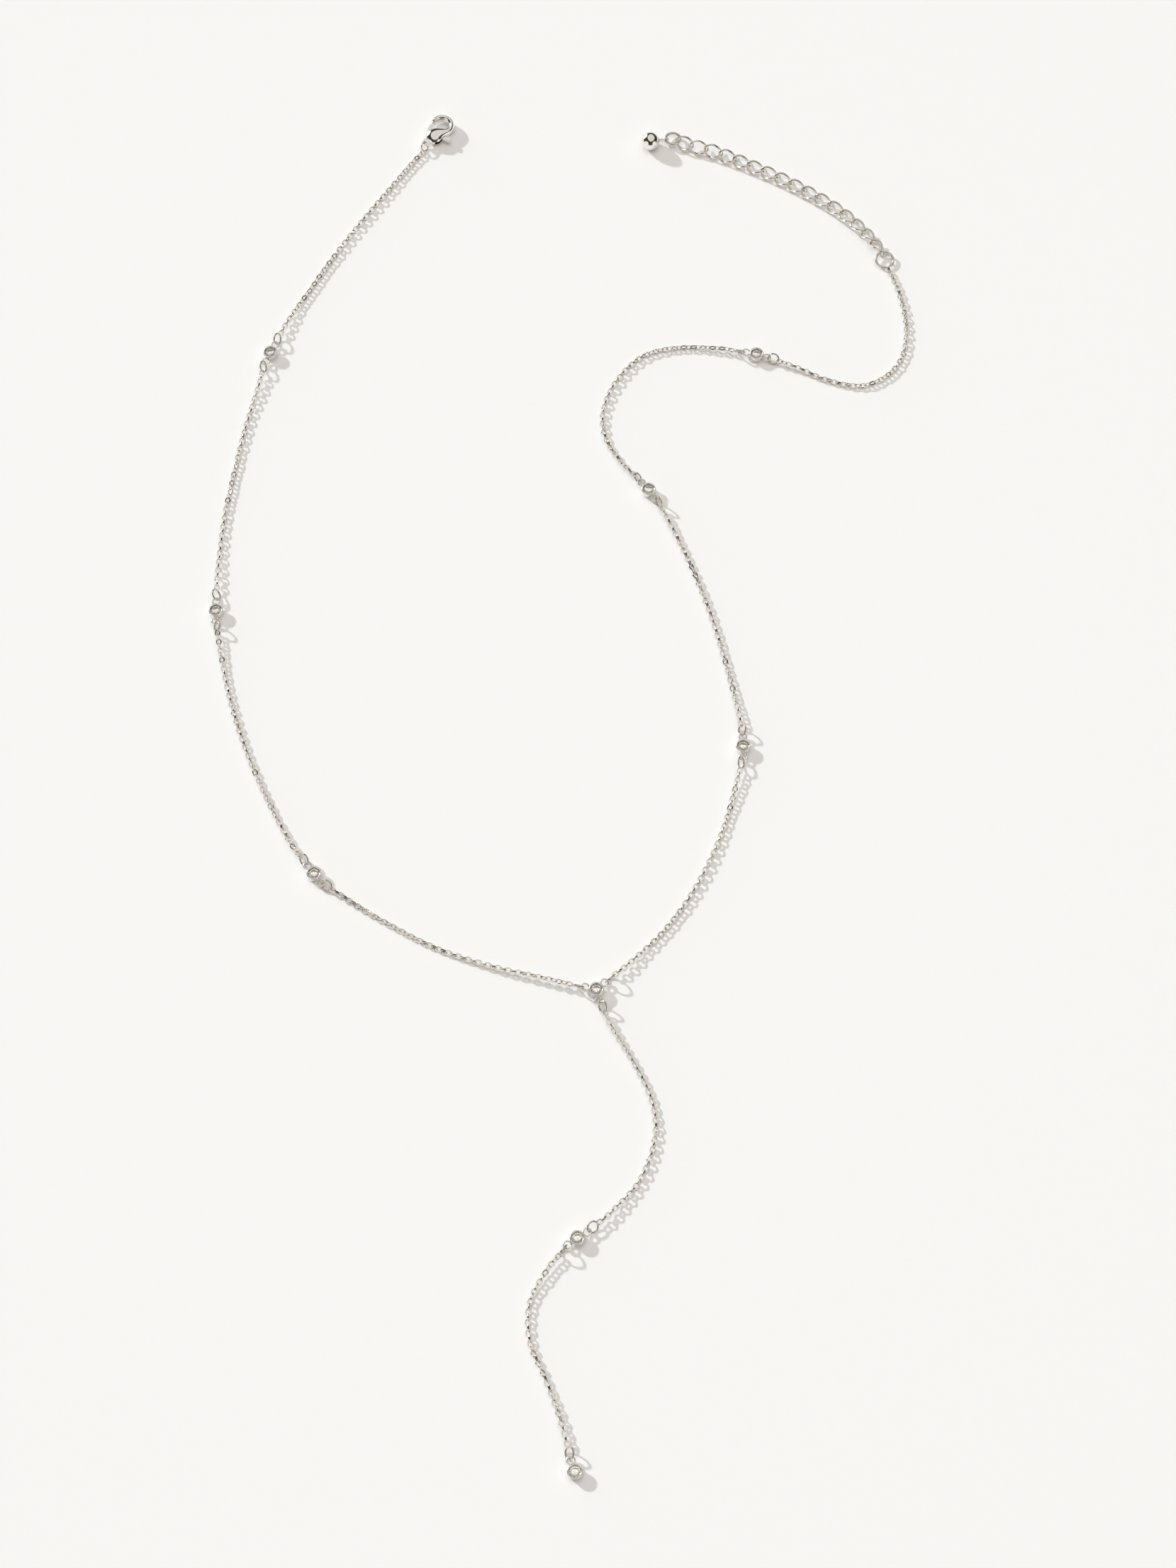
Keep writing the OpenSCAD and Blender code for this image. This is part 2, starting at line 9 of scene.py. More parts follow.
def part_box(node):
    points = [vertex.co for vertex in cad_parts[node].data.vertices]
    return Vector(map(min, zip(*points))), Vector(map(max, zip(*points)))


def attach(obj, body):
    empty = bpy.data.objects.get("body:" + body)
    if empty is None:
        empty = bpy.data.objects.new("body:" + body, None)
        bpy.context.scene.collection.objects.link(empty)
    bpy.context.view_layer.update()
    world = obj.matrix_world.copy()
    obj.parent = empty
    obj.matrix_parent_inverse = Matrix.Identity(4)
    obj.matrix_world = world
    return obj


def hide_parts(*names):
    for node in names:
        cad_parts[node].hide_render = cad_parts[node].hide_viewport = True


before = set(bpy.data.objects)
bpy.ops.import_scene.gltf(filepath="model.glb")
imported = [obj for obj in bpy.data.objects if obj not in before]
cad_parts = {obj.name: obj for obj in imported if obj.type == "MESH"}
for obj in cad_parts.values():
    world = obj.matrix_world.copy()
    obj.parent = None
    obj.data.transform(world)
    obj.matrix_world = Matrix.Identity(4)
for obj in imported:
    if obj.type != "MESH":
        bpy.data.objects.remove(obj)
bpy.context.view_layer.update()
MM = 0.001
dice = random.Random(7)

# ---------------------------------------------------------------- camera

SENSOR = 36
# Focal length and height of the picture, both in the picture's own pixels
FOCAL_PX = 5250
PICTURE_PX = 2212
CAMERA_AT = (6 * MM, -401 * MM, 835 * MM)
# Tilt away from straight down
CAMERA_TILT = 25

camera_data = bpy.data.cameras.new("camera")
camera = bpy.data.objects.new("camera", camera_data)
bpy.context.scene.collection.objects.link(camera)
bpy.context.scene.camera = camera
camera_data.sensor_width = SENSOR
camera_data.lens = SENSOR * FOCAL_PX / PICTURE_PX
camera_data.clip_start = 0.01
camera_data.clip_end = 20
camera.location = CAMERA_AT
camera.rotation_euler = (math.radians(CAMERA_TILT), 0, 0)

# ---------------------------------------------------------------- working in edit mode


def start():
    """Leaves nothing selected and object mode on."""
    if bpy.context.object and bpy.context.object.mode != "OBJECT":
        bpy.ops.object.mode_set(mode="OBJECT")
    bpy.ops.object.select_all(action="DESELECT")


def only(piece):
    """Selects one piece alone and makes it active."""
    start()
    piece.select_set(True)
    bpy.context.view_layer.objects.active = piece
    return piece


def settle(piece, name):
    """The piece at the origin, unturned and unscaled, with its place in its mesh."""
    only(piece)
    piece.name = piece.data.name = name
    bpy.ops.object.transform_apply(location=True, rotation=True, scale=True)
    return piece


def joined(copies, name):
    """All the copies as one settled piece."""
    start()
    for copy in copies:
        copy.select_set(True)
    bpy.context.view_layer.objects.active = copies[0]
    if len(copies) > 1:
        bpy.ops.object.join()
    return settle(bpy.context.object, name)


def laid(model, matrix):
    """A copy of a modelled piece, with its own mesh, at a place."""
    copy = model.copy()
    copy.data = model.data.copy()
    bpy.context.scene.collection.objects.link(copy)
    copy.matrix_world = matrix
    return copy


def dropped(model):
    bpy.data.objects.remove(model)


# ---------------------------------------------------------------- finishes

HAZE_SCALE = 900
MARK_SCALE = 1600
MARK_DEPTH = 0.00002
STONE_IOR = 2.15
STONE_CLEAR = 0.86
STONE_CLOUD_SCALE = 1200
STONE_TINTS = [(0.35, (0.92, 0.88, 0.8, 1)), (0.65, (0.99, 0.96, 0.9, 1))]
STONE_ROUGH = 0.03


def new_finish(name):
    finish = bpy.data.materials.new(name)
    finish.use_nodes = True
    nodes = finish.node_tree.nodes
    return finish, nodes, finish.node_tree.links, nodes["Principled BSDF"]


def polished(name, colour, rough_low, rough_high, ripple):
    """Plated and polished metal, uneven in its gloss, with a slight ripple of the surface."""
    finish, nodes, links, shader = new_finish(name)
    shader.inputs["Base Color"].default_value = (*colour, 1)
    shader.inputs["Metallic"].default_value = 1
    place = nodes.new("ShaderNodeTexCoord")
    haze = nodes.new("ShaderNodeTexNoise")
    haze.inputs["Scale"].default_value = HAZE_SCALE
    haze.inputs["Detail"].default_value = 3
    links.new(place.outputs["Object"], haze.inputs["Vector"])
    spread = nodes.new("ShaderNodeMapRange")
    spread.inputs["From Min"].default_value = 0.3
    spread.inputs["From Max"].default_value = 0.7
    spread.inputs["To Min"].default_value = rough_low
    spread.inputs["To Max"].default_value = rough_high
    links.new(haze.outputs["Fac"], spread.inputs["Value"])
    links.new(spread.outputs["Result"], shader.inputs["Roughness"])
    marks = nodes.new("ShaderNodeTexNoise")
    marks.inputs["Scale"].default_value = MARK_SCALE
    marks.inputs["Detail"].default_value = 2
    links.new(place.outputs["Object"], marks.inputs["Vector"])
    bump = nodes.new("ShaderNodeBump")
    bump.inputs["Strength"].default_value = ripple
    bump.inputs["Distance"].default_value = MARK_DEPTH
    links.new(marks.outputs["Fac"], bump.inputs["Height"])
    links.new(bump.outputs["Normal"], shader.inputs["Normal"])
    return finish


WIRE_SILVER = polished("wire_silver", (0.84, 0.785, 0.715), 0.05, 0.11, 0.25)
RING_SILVER = polished("ring_silver", (0.76, 0.7, 0.63), 0.04, 0.09, 0.3)
# Jump rings: the same silver as the other rings, with its colour darkened as painted shade for the
# darker reflections they show
SHADED_JUMP_SILVER = polished("jump_silver_painted_shade", (0.64, 0.58, 0.51), 0.04, 0.09, 0.3)
CAST_SILVER = polished("cast_silver", (0.9, 0.87, 0.83), 0.04, 0.1, 0.2)


def cut_stone():
    """Clear stone with a faint warm tint that varies a little."""
    finish, nodes, links, shader = new_finish("clear_stone")
    shader.inputs["IOR"].default_value = STONE_IOR
    shader.inputs["Transmission Weight"].default_value = STONE_CLEAR
    place = nodes.new("ShaderNodeTexCoord")
    cloud = nodes.new("ShaderNodeTexNoise")
    cloud.inputs["Scale"].default_value = STONE_CLOUD_SCALE
    links.new(place.outputs["Object"], cloud.inputs["Vector"])
    tint = nodes.new("ShaderNodeValToRGB")
    for stop, (position, colour) in zip(tint.color_ramp.elements, STONE_TINTS):
        stop.position = position
        stop.color = colour
    links.new(cloud.outputs["Fac"], tint.inputs["Fac"])
    links.new(tint.outputs["Color"], shader.inputs["Base Color"])
    polish = nodes.new("ShaderNodeMapRange")
    polish.inputs["To Min"].default_value = 0
    polish.inputs["To Max"].default_value = STONE_ROUGH
    links.new(cloud.outputs["Fac"], polish.inputs["Value"])
    links.new(polish.outputs["Result"], shader.inputs["Roughness"])
    return finish


CLEAR_STONE = cut_stone()


def dressed(piece, finish):
    piece.data.materials.clear()
    piece.data.materials.append(finish)


for name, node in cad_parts.items():
    if name.startswith("stone_"):
        dressed(node, CLEAR_STONE)
    elif name.startswith("jump_ring_"):
        dressed(node, SHADED_JUMP_SILVER)
    elif name in ("clasp_ring", "extender_ring", "ball_ring"):
        dressed(node, RING_SILVER)
    elif name == "extender_chain":
        dressed(node, WIRE_SILVER)
    else:
        dressed(node, CAST_SILVER)

# ---------------------------------------------------------------- places that the chain follows

# Each cup's place in millimetres, and the headings of its eyes
STATIONS = [
    [-77, 112, [65, 245]],
    [-88, 36, [90, 270]],
    [-61, -36.5, [125, 305]],
    [8, -67, [44, 164, 284]],
    [44.5, -2, [90, 270]],
    [21.5, 71, [128, 308]],
    [50, 111.5, [164, 344]],
    [3.5, -129.5, [34, 214]],
    [3, -185, [108]],
]
CLASP_AT = (-37.3, 177.9)
EXTENDER_RING_AT = (84.5, 141)
BALL_RING_AT = (28.8, 179.2)
# What holds a chain's end: the number of a cup in the list above, or one of the last two
CENTRE_CUP = 3
CLASP = 9
EXTENDER = 10
# Holder, eye and lean of the ring at one end, the same at the other end, and the points between
CHAIN_ROUTES = [
    [CLASP, 0, -28, 0, 0, 25, [(-41, 172), (-49.5, 160), (-58, 147.5), (-65.5, 135), (-73, 121.5)]],
    [0, 1, -25, 1, 0, 35, [(-79.5, 103), (-82.5, 90.5), (-85, 77), (-87, 63.5), (-88, 48.5)]],
    [1, 1, 31, 2, 0, -32, [(-86.5, 25), (-83.5, 11.5), (-79, -2.5), (-73, -16.5), (-66.5, -29)]],
    [2, 1, 38, 3, 1, 24, [(-55, -41.5), (-45, -48), (-31.5, -55.5), (-18, -60.5), (-4.5, -64)]],
    [3, 0, -17, 4, 1, -28, [(16.5, -59.5), (25.5, -50), (33, -38.5), (39, -25), (43, -11)]],
    [4, 0, -34, 5, 1, 13, [(43.5, 8), (40.5, 22), (36.5, 37), (31.5, 51), (26, 63.5)]],
    [5, 0, -11, 6, 0, 25,
     [(14.5, 79.5), (10.5, 87), (10, 95), (13.5, 104), (20.5, 111.5), (30, 114), (40.5, 113.5)]],
    [6, 1, 38, EXTENDER, 0, 0,
     [(60, 108), (69, 104), (77.5, 102.5), (84.5, 106), (88.5, 112.5), (89.5, 121), (88, 131)]],
    [3, 2, 32, 7, 0, 42,
     [(11.5, -76), (17, -85.5), (21, -94.5), (22, -103.5), (18.5, -114.5), (11.5, -123)]],
    [7, 1, 5, 8, 0, -40, [(-3.5, -137), (-7.5, -145), (-7.5, -154), (-4, -162.5), (-0.5, -172)]],
]


def middle(node):
    low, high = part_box(node)
    return (low + high) / 2


def ring_numbers():
    """The jump ring at each end of each chain, numbered as the nodes are."""
    numbers, count = [], 0
    for route in CHAIN_ROUTES:
        ends = []
        for side in (0, 1):
            if route[3 * side] < CLASP:
                count += 1
                ends.append(f"jump_ring_{count}")
            else:
                ends.append("clasp_ring" if route[3 * side] == CLASP else "extender_ring")
        numbers.append(ends)
    return numbers


RING_AT_END = ring_numbers()


def heading(degrees):
    return Vector((math.cos(math.radians(degrees)), math.sin(math.radians(degrees)), 0))


def smooth(points, steps):
    """Points on a smooth curve, with slopes that follow the distances between the chosen points."""
    last = len(points) - 1

    def slope(i):
        before, after = points[max(i - 1, 0)], points[min(i + 1, last)]
        return (after - before) / ((points[i] - before).length + (after - points[i]).length)

    out = []
    for i in range(last):
        p, q = points[i], points[i + 1]
        reach, leave, arrive = (q - p).length, slope(i), slope(i + 1)
        for k in range(steps):
            t = k / steps
            u = t * t * (3 - 2 * t)
            out.append((1 - u) * p + u * q + reach * t * (1 - t) * ((1 - t) * leave - t * arrive))
    return out + [points[last]]


class Run:
    """A curve that gives the place and heading at a length along it."""

    def __init__(self, points):
        self.points = points
        self.marks = [0]
        for a, b in zip(points, points[1:]):
            self.marks.append(self.marks[-1] + (b - a).length)
        self.length = self.marks[-1]

    def at(self, s):
        i = 0
        while i < len(self.marks) - 2 and s >= self.marks[i + 1]:
            i += 1
        t = (s - self.marks[i]) / (self.marks[i + 1] - self.marks[i])
        return self.points[i].lerp(self.points[i + 1], t)


# ---------------------------------------------------------------- fine cable chain

LINK_W = 1.5 * MM
LINK_WIRE = 0.35 * MM
LINK_PITCH = 1.265 * MM
LINK_SLACK = 0.02 * MM
CHAIN_Z = 0.7 * MM
EYE_REACH = 2.788 * MM
ROUTE_STEPS = 12
# Slow and chance turns of the links, in degrees, and the length and start of the slow ones
LINK_SWAY = 15
LINK_ROLL = 9
LINK_TURN = 3
SWAY_RUNS = (6, 10)
SWAY_STARTS = (0, 6)
# Steepest part of a hooked ring that a chain's end is taken to
RING_REACH = 0.95
# How far the rings hold a chain's ends off the paper, and over what length
END_LIFT = 0.55 * MM
END_RUN = 15 * MM
FRONT_LIFT = 0.9 * MM
FRONT_RUN = 36 * MM
RING_R = {"jump_ring": 1.4 * MM, "clasp_ring": 1.225 * MM, "extender_ring": 2.29 * MM}
RING_WIRE = {"jump_ring": 0.45 * MM, "clasp_ring": 0.45 * MM, "extender_ring": 0.62 * MM}


def cable_link(length):
    """An oval link of faceted wire: a round of wire, drawn out along X and made solid."""
    start()
    bpy.ops.curve.primitive_bezier_circle_add(radius=1, location=(0, 0, 0))
    link = only(bpy.context.object)
    bpy.ops.object.mode_set(mode="EDIT")
    bpy.ops.curve.select_all(action="SELECT")
    bpy.ops.transform.resize(value=((length - LINK_WIRE) / 2, (LINK_W - LINK_WIRE) / 2, 1))
    bpy.ops.object.mode_set(mode="OBJECT")
    link.data.resolution_u = 4
    link.data.bevel_depth = LINK_WIRE / 2
    link.data.bevel_resolution = 1
    bpy.ops.object.convert(target="MESH")
    link = only(bpy.context.object)
    bpy.ops.object.shade_smooth_by_angle(angle=math.radians(35))
    return link


def end_lift(route, side):
    """Lift of a chain's end, and the length that it runs out over."""
    if route[3 * side] >= CLASP:
        return 0, END_RUN
    if route[3 * side] == CENTRE_CUP and side == 1:
        return FRONT_LIFT, FRONT_RUN
    return END_LIFT, END_RUN


def lift_at(route, length, s):
    """Height that a chain is held up by at a length along it, and its slope there."""
    rise, slope = 0, 0
    for side in (0, 1):
        lift, run = end_lift(route, side)
        away = s if side == 0 else length - s
        if away < run:
            rise += lift * (1 + math.cos(math.pi * max(away, 0) / run)) / 2
            fall = lift * math.pi / run * math.sin(math.pi * max(away, 0) / run) / 2
            slope += -fall if side == 0 else fall
    return rise, slope


def hook_point(route, side, name):
    """Where the ring at a chain's end crosses the height at which the chain hooks it."""
    holder, eye, lean = route[3 * side: 3 * side + 3]
    inner = route[6][0 if side == 0 else -1]
    centre = middle(name)
    if holder == CLASP:
        origin = Vector((*CLASP_AT, 0)) * MM
    elif holder == EXTENDER:
        origin = Vector((*EXTENDER_RING_AT, 0)) * MM
    else:
        x, y, turns = STATIONS[holder]
        origin = Vector((x, y, 0)) * MM + EYE_REACH * heading(turns[eye])
    towards = Vector((*inner, 0)) * MM - origin
    turn = math.atan2(towards.y, towards.x)
    lean = math.radians(lean)
    ahead = Vector((math.cos(turn), math.sin(turn), 0))
    kind = name if name in RING_R else "jump_ring"
    radius = RING_R[kind]
    if holder == EXTENDER:
        return centre + radius * ahead, ahead, kind
    up = Vector((-math.sin(turn) * math.sin(lean), math.cos(turn) * math.sin(lean), math.cos(lean)))
    hold = CHAIN_Z + end_lift(route, side)[0]
    rise = (hold - centre.z) / (radius * math.cos(lean))
    rise = max(-RING_REACH, min(RING_REACH, rise))
    return centre + radius * (math.sqrt(1 - rise * rise) * ahead + rise * up), ahead, kind


def cable(number):
    """The links of one chain, along its route from ring to ring."""
    route = CHAIN_ROUTES[number]
    hooks = [hook_point(route, side, RING_AT_END[number][side]) for side in (0, 1)]
    inner = [Vector((*p, 0)) * MM for p in route[6]]
    ends = []
    for (point, ahead, kind) in hooks:
        flat = Vector((point.x, point.y, 0))
        ends.append(flat - ahead * ((RING_WIRE[kind] + LINK_WIRE) / 2 + LINK_SLACK))
    run = Run(smooth([ends[0], *inner, ends[1]], ROUTE_STEPS))
    stands_first = [kind == "extender_ring" for (_, _, kind) in hooks]
    steps = (run.length - 2 * LINK_WIRE - LINK_PITCH) / LINK_PITCH
    odd = int(stands_first[0] != stands_first[1])
    count = 2 * round((steps - odd) / 2) + odd
    pitch = (run.length - 2 * LINK_WIRE - LINK_SLACK) / (count + 1)
    length = pitch + 2 * LINK_WIRE + LINK_SLACK
    model = cable_link(length)
    links = []
    swing, twist = dice.uniform(*SWAY_RUNS) * MM, dice.uniform(*SWAY_STARTS)
    for i in range(count + 1):
        s = (length - LINK_WIRE) / 2 + i * pitch
        here, there = run.at(s - pitch / 2), run.at(s + pitch / 2)
        mid = run.at(s)
        way = there - here
        turn = math.atan2(way.y, way.x) + math.radians(dice.uniform(-LINK_TURN, LINK_TURN))
        sway = LINK_SWAY * math.sin(s / swing + twist)
        roll = math.radians(sway + dice.uniform(-LINK_ROLL, LINK_ROLL))
        z = CHAIN_Z
        if (i % 2 == 0) == stands_first[0]:
            roll += math.pi / 2
            z = (LINK_W - LINK_WIRE) / 2 * abs(math.sin(roll)) + LINK_WIRE / 2
        rise, slope = lift_at(route, run.length, s)
        place = Matrix.Translation((mid.x, mid.y, z + rise)) @ Matrix.Rotation(turn, 4, "Z")
        place = place @ Matrix.Rotation(-math.atan(slope), 4, "Y") @ Matrix.Rotation(roll, 4, "X")
        links.append(laid(model, place))
    dropped(model)
    piece = joined(links, f"cable_chain_{number + 1}")
    dressed(piece, WIRE_SILVER)
    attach(piece, "necklace")
    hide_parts(f"chain_{number + 1}")


for number in range(len(CHAIN_ROUTES)):
    cable(number)

# ---------------------------------------------------------------- extender

CURB_L = 5.6 * MM
CURB_W = 4 * MM
CURB_WIRE = 0.6 * MM
CURB_TWIST = -45
CURB_END_ROLLS = [-36, -26, -17, -8]
CURB_PLAY = 0.3 * MM
# How much closer than wire to wire the links lie, and how far they clear the paper
CURB_SLACK = 0.1 * MM
CURB_CLEAR = 0.05 * MM
BALL_RING_R = 1.925 * MM
BALL_RING_WIRE = 0.75 * MM
EXTENDER_STEPS = 8
EXTENDER_ROUTE = [(81, 147.5), (72.5, 156.5), (61, 164.5), (49, 171), (38.5, 175.5), (33.5, 176.8)]


def curb_link():
    """A twisted oval link: a round of wire, drawn out along X, made solid and twisted about X."""
    start()
    bpy.ops.curve.primitive_bezier_circle_add(radius=1, location=(0, 0, 0))
    link = only(bpy.context.object)
    bpy.ops.object.mode_set(mode="EDIT")
    bpy.ops.curve.select_all(action="SELECT")
    bpy.ops.transform.resize(value=((CURB_L - CURB_WIRE) / 2, (CURB_W - CURB_WIRE) / 2, 1))
    bpy.ops.object.mode_set(mode="OBJECT")
    link.data.resolution_u = 9
    link.data.bevel_depth = CURB_WIRE / 2
    link.data.bevel_resolution = 3
    bpy.ops.object.convert(target="MESH")
    link = only(bpy.context.object)
    turn = link.modifiers.new("twist", "SIMPLE_DEFORM")
    turn.deform_method = "TWIST"
    turn.deform_axis = "X"
    turn.angle = math.radians(2 * CURB_TWIST * CURB_L / (CURB_L - CURB_WIRE))
    bpy.ops.object.modifier_apply(modifier="twist")
    bpy.ops.object.shade_smooth()
    return link


def curb_lift(roll):
    """Height of a rolled link's middle when its lowest wire just clears the paper."""
    half_w = (CURB_W - CURB_WIRE) / 2
    low = 0
    for k in range(36):
        a = math.radians(10 * k)
        turn = math.radians(CURB_TWIST * math.cos(a) + roll)
        low = min(low, half_w * math.sin(a) * math.sin(turn))
    return CURB_WIRE / 2 - low + CURB_CLEAR


def extender():
    """The curb links from the extender's ring to the ball's ring, rolled more towards the ends."""
    points = [Vector((*p, 0)) * MM for p in [EXTENDER_RING_AT, *EXTENDER_ROUTE, BALL_RING_AT]]
    run = Run(smooth(points, EXTENDER_STEPS))
    inside = CURB_L / 2 - CURB_WIRE
    first = RING_R["extender_ring"] + inside - RING_WIRE["extender_ring"] / 2 - CURB_PLAY
    last = run.length - (BALL_RING_R + inside - BALL_RING_WIRE / 2 - CURB_PLAY)
    gaps = math.ceil((last - first) / (2 * inside - CURB_SLACK))
    step = (last - first) / gaps

    def roll(i):
        i = max(0, min(gaps, i))
        if i < len(CURB_END_ROLLS):
            return -CURB_END_ROLLS[i]
        return CURB_END_ROLLS[gaps - i] if gaps - i < len(CURB_END_ROLLS) else 0

    def hook_h(i):
        """Height of the place where a link hooks the one before it."""
        return (curb_lift(roll(i - 1)) + curb_lift(roll(i))) / 2

    model = curb_link()
    links = []
    for i in range(gaps + 1):
        s = first + i * step
        spot, near, far = run.at(s), run.at(s - 0.01 * MM), run.at(s + 0.01 * MM)
        turn = math.atan2(far.y - near.y, far.x - near.x)
        pitch = math.asin((hook_h(i) - hook_h(i + 1)) / step)
        place = Matrix.Translation((spot.x, spot.y, (hook_h(i) + hook_h(i + 1)) / 2))
        place = place @ Matrix.Rotation(turn, 4, "Z") @ Matrix.Rotation(pitch, 4, "Y")
        links.append(laid(model, place @ Matrix.Rotation(math.radians(roll(i)), 4, "X")))
    dropped(model)
    piece = joined(links, "curb_links")
    dressed(piece, WIRE_SILVER)
    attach(piece, "necklace")
    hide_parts("extender_chain")


extender()

# ---------------------------------------------------------------- clasp

CLASP_TURN = 51
CLASP_MID = 1.65 * MM
HOOK_AT = (6.45, 0.1)
HOOK_R = 2.575
HOOK_WIRE = 1.55
HOOK_START = -83
HOOK_END = 112
HOOK_CUTS = 28
# Depth of the hook over its width at its root, what it gains, and the cuts it gains it over
HOOK_DEEP = 1.42
HOOK_GAIN = 0.22
HOOK_GAIN_CUTS = 14
# The last cuts taper to the tip
HOOK_TIP_CUTS = 3
HOOK_TAPER = 0.08
CAST_SIDES = 32
TAIL_R, TAIL_HOLE_R, TAIL_T = 1.1, 0.7, 0.45
PIVOT = (3.1, -0.1)
PIN_R, PIN_L = 0.35, 1.86
LEVER_T, LEVER_PLAY = 0.7, 0.08
HUB_R = 1.15
# Radius and the two angles of each slice that clears the lever and its way
SLOT_SLICES = [(4.03, -12, 50), (3.45, 49, 113), (4.6, -138, -58.5), (2.2, -62, -43)]
MERGED = 0.005 * MM
# Middle, half width and half thickness of the body's cuts across, from the tail to the hook
BODY_CUTS = [
    [(0.3, -0.1), 0.45, 0.3], [(0.55, -0.15), 1.1, 0.66], [(1.0, -0.22), 1.72, 1.08],
    [(1.6, -0.28), 2.16, 1.39], [(2.3, -0.34), 2.42, 1.58], [(3.05, -0.5), 2.4, 1.63],
    [(3.8, -0.86), 2.12, 1.56], [(4.5, -1.32), 1.7, 1.42], [(5.2, -1.82), 1.28, 1.26],
    [(5.85, -2.25), 0.97, 1.14],
]


def in_clasp(point):
    """A point of the clasp's own plan, measured from its tail hole, where the clasp lies."""
    turned = Matrix.Rotation(math.radians(CLASP_TURN), 3, "Z") @ Vector((*point, 0))
    return turned * MM + Vector((*CLASP_AT, 0)) * MM + Vector((0, 0, CLASP_MID))


def select_rings(body, number, sides):
    """Selects two neighbouring rings of points and their edges."""
    for vertex in body.data.vertices:
        vertex.select = number * sides <= vertex.index < (number + 2) * sides
    for edge in body.data.edges:
        edge.select = all(body.data.vertices[v].select for v in edge.vertices)


def swept(cuts, sides, name):
    """A solid through oval cuts, each a circle of points drawn to its width and thickness."""
    rings = []
    for i, (spot, half_w, half_t) in enumerate(cuts):
        before, after = cuts[max(i - 1, 0)][0], cuts[min(i + 1, len(cuts) - 1)][0]
        way = math.atan2(after[1] - before[1], after[0] - before[0]) + math.radians(CLASP_TURN)
        upright = Matrix.Rotation(way, 4, "Z") @ Matrix.Rotation(math.pi / 2, 4, "Y")
        oval = Matrix.Diagonal((half_t * MM, half_w * MM, 1, 1))
        start()
        bpy.ops.mesh.primitive_circle_add(vertices=sides, radius=1, location=(0, 0, 0))
        ring = bpy.context.object
        ring.matrix_world = Matrix.Translation(in_clasp(spot)) @ upright @ oval
        rings.append(ring)
    body = joined(rings, name)
    bpy.context.tool_settings.mesh_select_mode = (False, True, False)
    for i in range(len(cuts) - 1):
        only(body)
        bpy.ops.object.mode_set(mode="EDIT")
        bpy.ops.mesh.select_all(action="DESELECT")
        bpy.ops.object.mode_set(mode="OBJECT")
        select_rings(body, i, sides)
        bpy.ops.object.mode_set(mode="EDIT")
        bpy.ops.mesh.bridge_edge_loops()
        bpy.ops.object.mode_set(mode="OBJECT")
    bpy.ops.object.mode_set(mode="EDIT")
    bpy.ops.mesh.select_all(action="SELECT")
    bpy.ops.mesh.fill_holes(sides=0)
    bpy.ops.mesh.normals_make_consistent(inside=False)
    bpy.ops.object.mode_set(mode="OBJECT")
    return body


def cut_by(body, tool, operation="DIFFERENCE"):
    only(body)
    step = body.modifiers.new("cut", "BOOLEAN")
    step.operation = operation
    step.solver = "EXACT"
    step.object = tool
    bpy.ops.object.modifier_apply(modifier="cut")
    dropped(tool)


def disc(spot, radius, depth):
    start()
    bpy.ops.mesh.primitive_cylinder_add(
        vertices=64, radius=radius * MM, depth=depth * MM, location=in_clasp(spot))
    return settle(bpy.context.object, "disc")


def wedge(radius, low, high, depth):
    """A slice of a disc about the lever's pin, between two angles."""
    piece = disc(PIVOT, radius, depth)
    only(piece)
    bpy.ops.object.mode_set(mode="EDIT")
    for angle, side in ((low, 1), (high, -1)):
        way = math.radians(angle + CLASP_TURN + 90 * side)
        bpy.ops.mesh.select_all(action="SELECT")
        bpy.ops.mesh.bisect(
            plane_co=in_clasp(PIVOT), plane_no=(math.cos(way), math.sin(way), 0),
            use_fill=True, clear_inner=True)
    bpy.ops.object.mode_set(mode="OBJECT")
    return piece


def clasp():
    """The cast body that flows into its hook, with its tail, its slot for the lever and its pin."""
    cuts = list(BODY_CUTS)
    for k in range(HOOK_CUTS + 1):
        a = math.radians(HOOK_START + (HOOK_END - HOOK_START) * k / HOOK_CUTS)
        tip = max(k - (HOOK_CUTS - HOOK_TIP_CUTS), 0)
        wire = HOOK_WIRE / 2 * (1 - HOOK_TAPER * tip ** 2)
        deep = wire * (HOOK_DEEP + HOOK_GAIN * min(k / HOOK_GAIN_CUTS, 1))
        spot = (HOOK_AT[0] + HOOK_R * math.cos(a), HOOK_AT[1] + HOOK_R * math.sin(a))
        cuts.append([spot, wire, deep])
    body = swept(cuts, CAST_SIDES, "clasp_cast")
    only(body)
    round_off = body.modifiers.new("round", "SUBSURF")
    round_off.levels = round_off.render_levels = 1
    bpy.ops.object.modifier_apply(modifier="round")
    cut_by(body, disc((0, 0), TAIL_R, TAIL_T), "UNION")
    slot_depth = LEVER_T + 2 * LEVER_PLAY
    cut_by(body, disc(PIVOT, HUB_R, slot_depth))
    for radius, low, high in SLOT_SLICES:
        cut_by(body, wedge(radius, low, high, slot_depth))
    cut_by(body, disc((0, 0), TAIL_HOLE_R, 2))
    cut_by(body, disc(PIVOT, PIN_R, PIN_L), "UNION")
    only(body)
    bpy.ops.object.mode_set(mode="EDIT")
    bpy.ops.mesh.select_all(action="SELECT")
    bpy.ops.mesh.remove_doubles(threshold=MERGED)
    bpy.ops.mesh.dissolve_degenerate(threshold=MERGED)
    bpy.ops.object.mode_set(mode="OBJECT")
    bpy.ops.object.shade_smooth_by_angle(angle=math.radians(40))
    dressed(body, CAST_SILVER)
    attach(body, "necklace")
    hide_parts("clasp_body")


clasp()

# ---------------------------------------------------------------- paper and light

PAPER_WHITE = (0.9, 0.896, 0.893, 1)
FIBRE_SCALE = 900
ROOM_DARK = (0.06, 0.046, 0.032, 1)
BACKDROP = (0.82, 0.81, 0.79, 1)
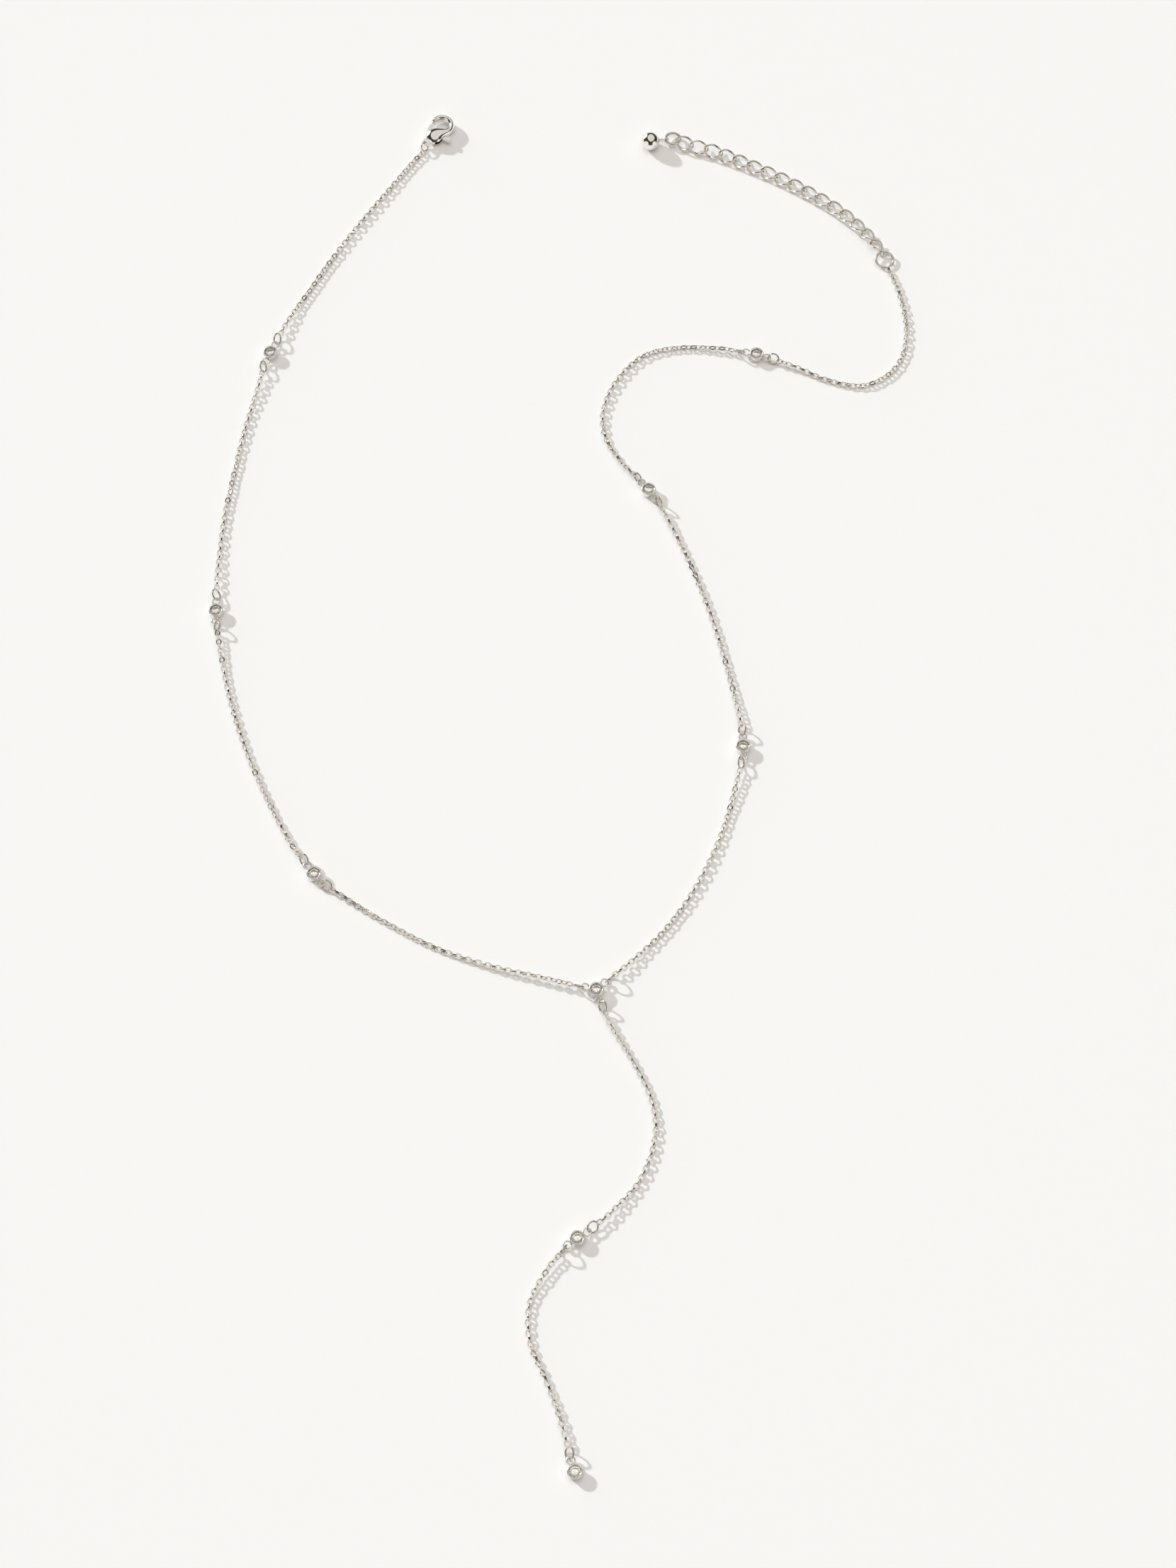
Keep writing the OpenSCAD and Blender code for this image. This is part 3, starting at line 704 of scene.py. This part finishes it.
# The pale ceiling is what two round patches have in common. Rims are in degrees.
CEILING = (0.74, 0.75, 0.72, 1)
CEILING_SIDES = [(0.342, 0.145, 0.928), (-0.105, 0.154, 0.983)]
CEILING_RIM = 54
RIM_BLUR = 3
# Direction, rim and colour of the low bright patches, the window first
LOW_PATCHES = [
    ((-0.74, 0.66, 0.18), 22, (1.8, 1.79, 1.77, 1)),
    ((0.68, -0.62, 0.12), 24, (0.95, 0.91, 0.89, 1)),
    ((-0.72, -0.62, 0.1), 26, (0.95, 0.91, 0.89, 1)),
]
SUN_WAY = (0.80, -0.60, 0)
SUN_HEIGHT = 26.5
SUN_WIDTH = 3
SUN_ENERGY = 2.36
SUN_COLOUR = (0.88, 0.957, 1)
BOUNCE_ENERGY = 12
BOUNCE_COLOUR = (1, 0.89, 0.84)


def paper():
    start()
    bpy.ops.mesh.primitive_plane_add(size=6, location=(0, 0, 0))
    sheet = settle(bpy.context.object, "paper")
    finish, nodes, links, shader = new_finish("white_paper")
    place = nodes.new("ShaderNodeTexCoord")
    fibre = nodes.new("ShaderNodeTexNoise")
    fibre.inputs["Scale"].default_value = FIBRE_SCALE
    fibre.inputs["Detail"].default_value = 4
    links.new(place.outputs["Object"], fibre.inputs["Vector"])
    bump = nodes.new("ShaderNodeBump")
    bump.inputs["Strength"].default_value = 0.15
    bump.inputs["Distance"].default_value = 0.0001
    links.new(fibre.outputs["Fac"], bump.inputs["Height"])
    links.new(bump.outputs["Normal"], shader.inputs["Normal"])
    shader.inputs["Base Color"].default_value = PAPER_WHITE
    shader.inputs["Roughness"].default_value = 0.9
    sheet.data.materials.append(finish)


paper()


def studio():
    """A pale ceiling over the table, a dark room low down round it, and a window on the left."""
    bpy.context.scene.view_settings.view_transform = "Standard"
    world = bpy.data.worlds.new("studio")
    bpy.context.scene.world = world
    world.use_nodes = True
    nodes, links = world.node_tree.nodes, world.node_tree.links
    back = nodes["Background"]
    around = nodes.new("ShaderNodeTexCoord")

    def facing(way, edge):
        """A round patch of the room in one direction, with its rim at an angle from the middle."""
        turn = nodes.new("ShaderNodeVectorMath")
        turn.operation = "DOT_PRODUCT"
        turn.inputs[1].default_value = Vector(way).normalized()
        links.new(around.outputs["Generated"], turn.inputs[0])
        rim = nodes.new("ShaderNodeMapRange")
        rim.inputs["From Min"].default_value = math.cos(math.radians(edge + RIM_BLUR))
        rim.inputs["From Max"].default_value = math.cos(math.radians(edge - RIM_BLUR))
        links.new(turn.outputs["Value"], rim.inputs["Value"])
        return rim.outputs["Result"]

    def lit(under, patch, colour):
        """What is under a patch, with the patch's colour laid over it."""
        mix = nodes.new("ShaderNodeMix")
        mix.data_type = "RGBA"
        links.new(patch, mix.inputs["Factor"])
        if isinstance(under, tuple):
            mix.inputs["A"].default_value = under
        else:
            links.new(under, mix.inputs["A"])
        mix.inputs["B"].default_value = colour
        return mix.outputs["Result"]

    both = nodes.new("ShaderNodeMath")
    both.operation = "MULTIPLY"
    for way, side in zip(CEILING_SIDES, both.inputs):
        links.new(facing(way, CEILING_RIM), side)
    room = lit(ROOM_DARK, both.outputs["Value"], CEILING)
    for way, edge, colour in LOW_PATCHES:
        room = lit(room, facing(way, edge), colour)
    # The room as the metal mirrors it, and a plain pale backdrop where it is looked at
    seen = nodes.new("ShaderNodeLightPath")
    room = lit(room, seen.outputs["Is Camera Ray"], BACKDROP)
    links.new(room, back.inputs["Color"])
    back.inputs["Strength"].default_value = 1
    data = bpy.data.lights.new("window_light", "SUN")
    data.angle = math.radians(SUN_WIDTH)
    data.energy = SUN_ENERGY
    data.color = SUN_COLOUR
    window = bpy.data.objects.new("window_light", data)
    bpy.context.scene.collection.objects.link(window)
    low = math.radians(SUN_HEIGHT)
    away = Vector(SUN_WAY) * math.cos(low) + Vector((0, 0, -math.sin(low)))
    window.rotation_euler = away.to_track_quat("-Z", "Y").to_euler()
    data = bpy.data.lights.new("bounce_light", "AREA")
    data.size = 1.6
    data.energy = BOUNCE_ENERGY
    data.color = BOUNCE_COLOUR
    bounce = bpy.data.objects.new("bounce_light", data)
    bpy.context.scene.collection.objects.link(bounce)
    bounce.location = (0, 0, 2)
    bounce.visible_glossy = False


studio()
